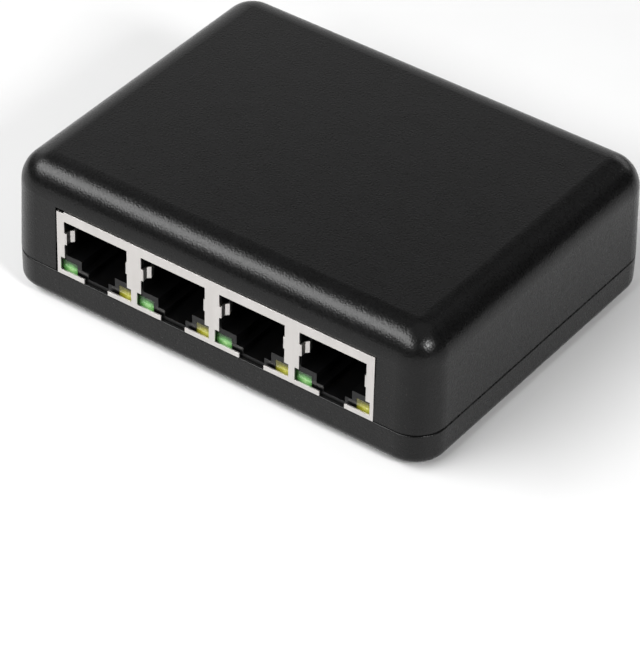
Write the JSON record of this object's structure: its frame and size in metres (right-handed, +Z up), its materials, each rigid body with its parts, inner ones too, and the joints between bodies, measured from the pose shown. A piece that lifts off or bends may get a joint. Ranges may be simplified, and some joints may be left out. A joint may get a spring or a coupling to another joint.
{
  "type": "desktop network switch",
  "caption": "Small black desktop network switch: rounded two-part case with a row of shielded RJ45 sockets and port lamps along the front, and a USB-C power inlet at the rear.",
  "frame": {"origin": "on the surface that the rubber feet stand on, under the middle of the case", "axes": "+Z up, +X to the right seen from the front, the sockets face -Y"},
  "size_m": [0.076, 0.059, 0.0237],
  "materials": {
    "case_plastic": "fine-grained satin moulded plastic",
    "foot_rubber": "matt",
    "screw_steel": "black zinc plate",
    "board_laminate": "green solder mask over glass laminate",
    "housing_plastic": "moulded thermoplastic",
    "shield_metal": "tin-plated pressed sheet",
    "contact_gold": "gold flash over nickel",
    "lamp_green": "translucent tinted lens",
    "lamp_yellow": "translucent tinted lens",
    "magnetics_case": "moulded epoxy",
    "chip_epoxy": "moulded epoxy",
    "tinned_lead": "matt tin",
    "can_metal": "drawn can",
    "ferrite": "ground ferrite",
    "ceramic_tan": "fired ceramic",
    "resistor_glaze": "glazed",
    "fuse_green": "coated polymer"
  },
  "bodies": {
    "case": {"top_cover": "case_plastic", "base_tray": "case_plastic", "case_screws": "screw_steel", "main_board": "board_laminate", "jack_housing": "housing_plastic", "jack_shield_front": "shield_metal", "jack_shield_rear": "shield_metal", "lamp_leads": "tinned_lead", "magnetics_leads": "tinned_lead", "switch_chip": "chip_epoxy", "switch_chip_leads": "tinned_lead", "config_memory": "chip_epoxy", "voltage_regulator": "chip_epoxy", "small_chip_leads": "tinned_lead", "crystal": "can_metal", "bulk_capacitors": "can_metal", "capacitor_bases": "housing_plastic", "power_inductor": "ferrite", "chip_capacitors": "ceramic_tan", "chip_resistors": "resistor_glaze", "input_fuse": "fuse_green", "usb_c_shell": "shield_metal", "usb_c_insulator": "housing_plastic", "usb_c_contacts": "contact_gold", "foot_front_left": "foot_rubber", "foot_front_right": "foot_rubber", "foot_rear_left": "foot_rubber", "foot_rear_right": "foot_rubber", "contact_carrier_1": "housing_plastic", "contact_leads_1": "contact_gold", "green_led_1": "lamp_green", "yellow_led_1": "lamp_yellow", "magnetics_1": "magnetics_case", "contact_carrier_2": "housing_plastic", "contact_leads_2": "contact_gold", "green_led_2": "lamp_green", "yellow_led_2": "lamp_yellow", "magnetics_2": "magnetics_case", "contact_carrier_3": "housing_plastic", "contact_leads_3": "contact_gold", "green_led_3": "lamp_green", "yellow_led_3": "lamp_yellow", "magnetics_3": "magnetics_case", "contact_carrier_4": "housing_plastic", "contact_leads_4": "contact_gold", "green_led_4": "lamp_green", "yellow_led_4": "lamp_yellow", "magnetics_4": "magnetics_case"},
    "contacts_1": {"jack_contacts_1": "contact_gold"},
    "contacts_2": {"jack_contacts_2": "contact_gold"},
    "contacts_3": {"jack_contacts_3": "contact_gold"},
    "contacts_4": {"jack_contacts_4": "contact_gold"}
  },
  "joints": [
    {"name": "contacts_1_flex", "type": "hinge", "parent": "case", "child": "contacts_1", "pos_m": [-0.02104, -0.02706, 0.0159], "axis": [1, 0, 0], "range_deg": [0, 12], "stiffness_Nm_per_rad": 0.15},
    {"name": "contacts_2_flex", "type": "hinge", "parent": "case", "child": "contacts_2", "pos_m": [-0.00675, -0.02706, 0.0159], "axis": [1, 0, 0], "range_deg": [0, 12], "stiffness_Nm_per_rad": 0.15},
    {"name": "contacts_3_flex", "type": "hinge", "parent": "case", "child": "contacts_3", "pos_m": [0.00754, -0.02706, 0.0159], "axis": [1, 0, 0], "range_deg": [0, 12], "stiffness_Nm_per_rad": 0.15},
    {"name": "contacts_4_flex", "type": "hinge", "parent": "case", "child": "contacts_4", "pos_m": [0.02184, -0.02706, 0.0159], "axis": [1, 0, 0], "range_deg": [0, 12], "stiffness_Nm_per_rad": 0.15}
  ]
}
